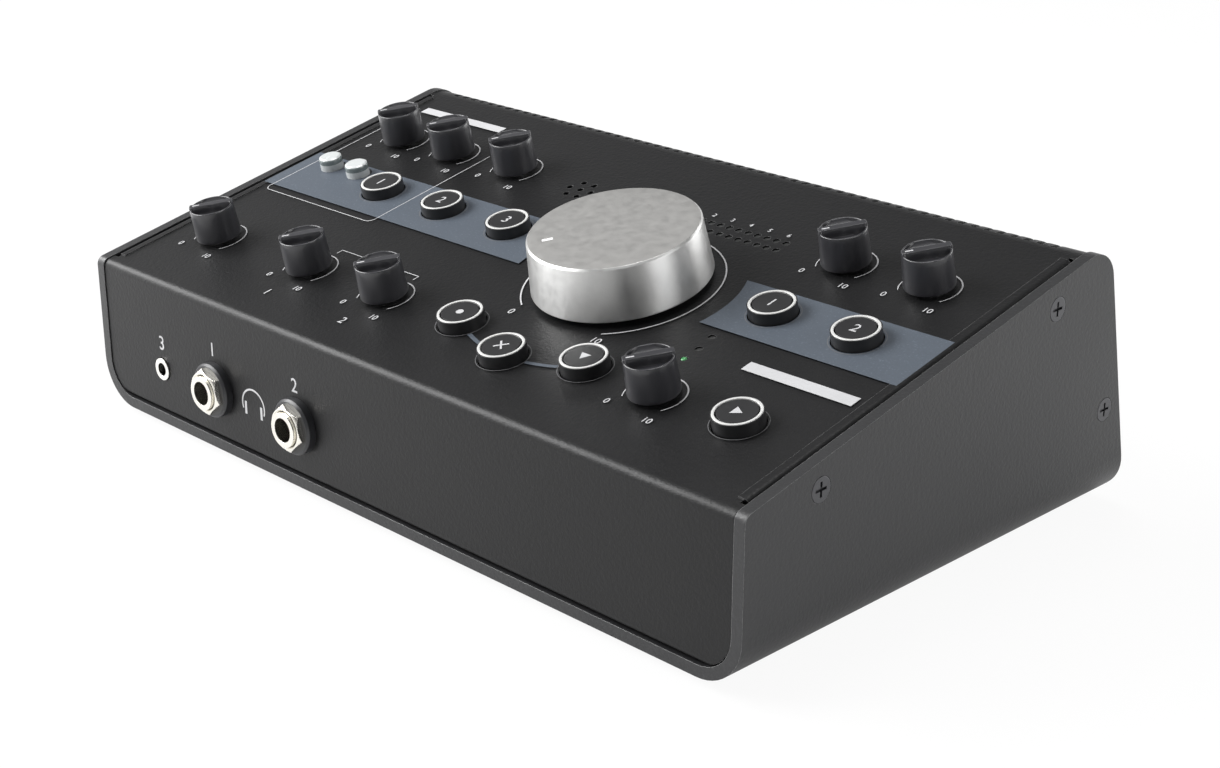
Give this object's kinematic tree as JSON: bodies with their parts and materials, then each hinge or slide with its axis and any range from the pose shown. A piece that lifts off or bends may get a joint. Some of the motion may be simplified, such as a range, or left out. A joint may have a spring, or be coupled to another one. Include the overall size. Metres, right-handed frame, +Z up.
{
  "type": "studio monitor controller",
  "caption": "Desktop audio controller in a folded sheet-metal wedge casing, with a large volume knob, small rotary knobs, lit push buttons and front headphone sockets.",
  "frame": {"origin": "middle of the footprint on the desk, at the underside of the feet", "axes": "+X to the right seen from the front, +Y towards the rear panel, +Z up"},
  "size_m": [0.24, 0.1498, 0.0764],
  "materials": {
    "chassis_paint": "fine textured charcoal powder coat",
    "cover_paint": "fine textured near-black powder coat with printed bands",
    "black_screws": "black oxide",
    "rubber": "matt black",
    "circuit_board": "green solder mask",
    "component_plastic": "moulded black",
    "lamp_lens": "clear diffused lens",
    "microphone_can": "drawn can",
    "socket_plastic": "moulded black",
    "collar_plastic": "moulded dark grey",
    "nickel": "bright nickel plate",
    "mini_jack_metal": "nickel plated ring",
    "socket_steel": "plated steel shell",
    "button_plastic": "satin black",
    "knob_plastic": "charcoal soft touch",
    "shaft_metal": "turned",
    "volume_aluminium": "satin turned aluminium",
    "light_guide": "milky white",
    "translucent_cap": "translucent white"
  },
  "bodies": {
    "casing": {"base_chassis": "chassis_paint", "top_cover": "cover_paint", "casing_screws": "black_screws", "rubber_feet": "rubber", "control_board": "circuit_board", "potentiometers": "component_plastic", "key_switches": "component_plastic", "level_leds": "lamp_lens", "talkback_microphone": "microphone_can", "phones_jacks": "socket_plastic", "jack_collars": "collar_plastic", "jack_nuts": "nickel", "aux_mini_jack": "mini_jack_metal", "jack_board": "circuit_board", "line_jacks": "socket_plastic", "combo_sockets": "socket_plastic", "usb_socket": "socket_steel", "dc_inlet": "socket_plastic", "power_switch": "socket_plastic"},
    "direct_monitor_control": {"direct_monitor_knob": "knob_plastic", "direct_monitor_shaft": "shaft_metal"},
    "phones_1_control": {"phones_1_knob": "knob_plastic", "phones_1_shaft": "shaft_metal"},
    "phones_2_control": {"phones_2_knob": "knob_plastic", "phones_2_shaft": "shaft_metal"},
    "talkback_control": {"talkback_knob": "knob_plastic", "talkback_shaft": "shaft_metal"},
    "gain_1_control": {"gain_1_knob": "knob_plastic", "gain_1_shaft": "shaft_metal"},
    "gain_2_control": {"gain_2_knob": "knob_plastic", "gain_2_shaft": "shaft_metal"},
    "trim_34_control": {"trim_34_knob": "knob_plastic", "trim_34_shaft": "shaft_metal"},
    "trim_a_control": {"trim_a_knob": "knob_plastic", "trim_a_shaft": "shaft_metal"},
    "trim_b_control": {"trim_b_knob": "knob_plastic", "trim_b_shaft": "shaft_metal"},
    "volume_control": {"volume_knob": "volume_aluminium", "volume_shaft": "shaft_metal"},
    "mono_key": {"mono_button": "button_plastic", "mono_light_ring": "light_guide"},
    "mute_key": {"mute_button": "button_plastic", "mute_light_ring": "light_guide"},
    "dim_key": {"dim_button": "button_plastic", "dim_light_ring": "light_guide"},
    "cue_key": {"cue_button": "button_plastic", "cue_light_ring": "light_guide"},
    "monitor_a_key": {"monitor_a_button": "button_plastic", "monitor_a_light_ring": "light_guide"},
    "monitor_b_key": {"monitor_b_button": "button_plastic", "monitor_b_light_ring": "light_guide"},
    "usb_source_key": {"usb_source_button": "button_plastic", "usb_source_light_ring": "light_guide"},
    "source_34_key": {"source_34_button": "button_plastic", "source_34_light_ring": "light_guide"},
    "source_12_key": {"source_12_button": "button_plastic", "source_12_light_ring": "light_guide"},
    "input_1_switch_key": {"input_1_switch_cap": "translucent_cap"},
    "input_2_switch_key": {"input_2_switch_cap": "translucent_cap"},
    "power_key": {"power_button": "button_plastic"}
  },
  "joints": [
    {"name": "direct_monitor_turn", "type": "hinge", "parent": "casing", "child": "direct_monitor_control", "pos_m": [-0.0966, -0.04531, 0.04878], "axis": [0, 0.2258, -0.9742], "range_deg": [0, 280]},
    {"name": "phones_1_turn", "type": "hinge", "parent": "casing", "child": "phones_1_control", "pos_m": [-0.0565, -0.04473, 0.04892], "axis": [0, 0.2258, -0.9742], "range_deg": [0, 280]},
    {"name": "phones_2_turn", "type": "hinge", "parent": "casing", "child": "phones_2_control", "pos_m": [-0.025, -0.04482, 0.04889], "axis": [0, 0.2258, -0.9742], "range_deg": [0, 280]},
    {"name": "talkback_turn", "type": "hinge", "parent": "casing", "child": "talkback_control", "pos_m": [0.0703, -0.04502, 0.04885], "axis": [0, 0.2258, -0.9742], "range_deg": [0, 280]},
    {"name": "gain_1_turn", "type": "hinge", "parent": "casing", "child": "gain_1_control", "pos_m": [-0.0969, 0.02152, 0.06427], "axis": [0, 0.2258, -0.9742], "range_deg": [0, 280]},
    {"name": "gain_2_turn", "type": "hinge", "parent": "casing", "child": "gain_2_control", "pos_m": [-0.0747, 0.02152, 0.06427], "axis": [0, 0.2258, -0.9742], "range_deg": [0, 280]},
    {"name": "trim_34_turn", "type": "hinge", "parent": "casing", "child": "trim_34_control", "pos_m": [-0.0491, 0.0223, 0.06445], "axis": [0, 0.2258, -0.9742], "range_deg": [0, 280]},
    {"name": "trim_a_turn", "type": "hinge", "parent": "casing", "child": "trim_a_control", "pos_m": [0.07, 0.02161, 0.06429], "axis": [0, 0.2258, -0.9742], "range_deg": [0, 280]},
    {"name": "trim_b_turn", "type": "hinge", "parent": "casing", "child": "trim_b_control", "pos_m": [0.095, 0.02161, 0.06429], "axis": [0, 0.2258, -0.9742], "range_deg": [0, 280]},
    {"name": "volume_turn", "type": "hinge", "parent": "casing", "child": "volume_control", "pos_m": [0.026, -0.01063, 0.05682], "axis": [0, 0.2258, -0.9742], "range_deg": [0, 280]},
    {"name": "mono_press", "type": "slide", "parent": "casing", "child": "mono_key", "axis": [0, 0.2258, -0.9742], "range_m": [0, 0.0012], "stiffness_N_per_m": 900},
    {"name": "mute_press", "type": "slide", "parent": "casing", "child": "mute_key", "axis": [0, 0.2258, -0.9742], "range_m": [0, 0.0012], "stiffness_N_per_m": 900},
    {"name": "dim_press", "type": "slide", "parent": "casing", "child": "dim_key", "axis": [0, 0.2258, -0.9742], "range_m": [0, 0.0012], "stiffness_N_per_m": 900},
    {"name": "cue_press", "type": "slide", "parent": "casing", "child": "cue_key", "axis": [0, 0.2258, -0.9742], "range_m": [0, 0.0012], "stiffness_N_per_m": 900},
    {"name": "monitor_a_press", "type": "slide", "parent": "casing", "child": "monitor_a_key", "axis": [0, 0.2258, -0.9742], "range_m": [0, 0.0012], "stiffness_N_per_m": 900},
    {"name": "monitor_b_press", "type": "slide", "parent": "casing", "child": "monitor_b_key", "axis": [0, 0.2258, -0.9742], "range_m": [0, 0.0012], "stiffness_N_per_m": 900},
    {"name": "usb_source_press", "type": "slide", "parent": "casing", "child": "usb_source_key", "axis": [0, 0.2258, -0.9742], "range_m": [0, 0.0012], "stiffness_N_per_m": 900},
    {"name": "source_34_press", "type": "slide", "parent": "casing", "child": "source_34_key", "axis": [0, 0.2258, -0.9742], "range_m": [0, 0.0012], "stiffness_N_per_m": 900},
    {"name": "source_12_press", "type": "slide", "parent": "casing", "child": "source_12_key", "axis": [0, 0.2258, -0.9742], "range_m": [0, 0.0012], "stiffness_N_per_m": 900},
    {"name": "input_1_switch_press", "type": "slide", "parent": "casing", "child": "input_1_switch_key", "axis": [0, 0.2258, -0.9742], "range_m": [0, 0.0012], "stiffness_N_per_m": 900},
    {"name": "input_2_switch_press", "type": "slide", "parent": "casing", "child": "input_2_switch_key", "axis": [0, 0.2258, -0.9742], "range_m": [0, 0.0012], "stiffness_N_per_m": 900},
    {"name": "power_press", "type": "slide", "parent": "casing", "child": "power_key", "axis": [0, -0.9742, -0.2258], "range_m": [0, 0.0024], "stiffness_N_per_m": 700}
  ]
}
